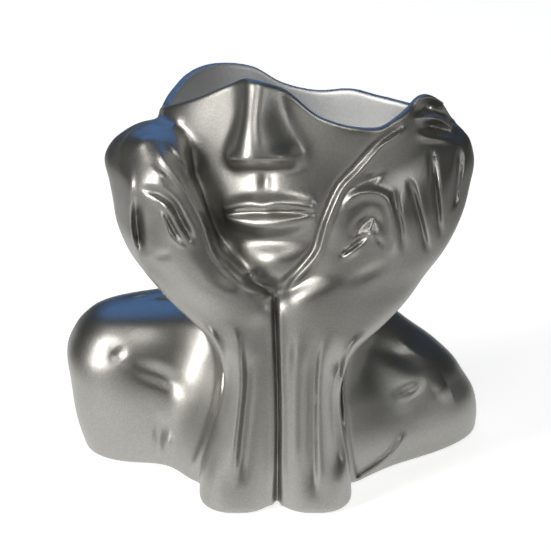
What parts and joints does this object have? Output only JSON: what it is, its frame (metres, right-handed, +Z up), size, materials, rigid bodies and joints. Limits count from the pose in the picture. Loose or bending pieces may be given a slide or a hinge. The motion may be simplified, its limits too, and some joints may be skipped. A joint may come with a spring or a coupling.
{
  "type": "head planter",
  "caption": "Planter cast as a half face cupped in two hands on bare shoulders, open at the top, with a drain hole, plug, screen and foot pads.",
  "frame": {"origin": "on the table, under the middle of the piece's box", "axes": "+Z up, -Y towards the front, where the forearms stand, and +X to the right as seen from the front"},
  "size_m": [0.1707, 0.1249, 0.172],
  "materials": {
    "casting": "satin silver metallic coat over cast resin",
    "plug": "matt moulded rubber",
    "screen": "matt moulded plastic",
    "pad": "matt foam rubber"
  },
  "bodies": {
    "casting": {"bust": "casting", "foot_pads": "pad"},
    "plug": {"drain_plug": "plug"},
    "screen": {"drain_screen": "screen"}
  },
  "joints": [
    {"name": "plug_slide", "type": "slide", "parent": "casting", "child": "plug", "axis": [0, 0, -1], "range_m": [0, 0.012]},
    {"name": "screen_lift", "type": "slide", "parent": "casting", "child": "screen", "axis": [0, 0, 1], "range_m": [0, 0.17]}
  ]
}
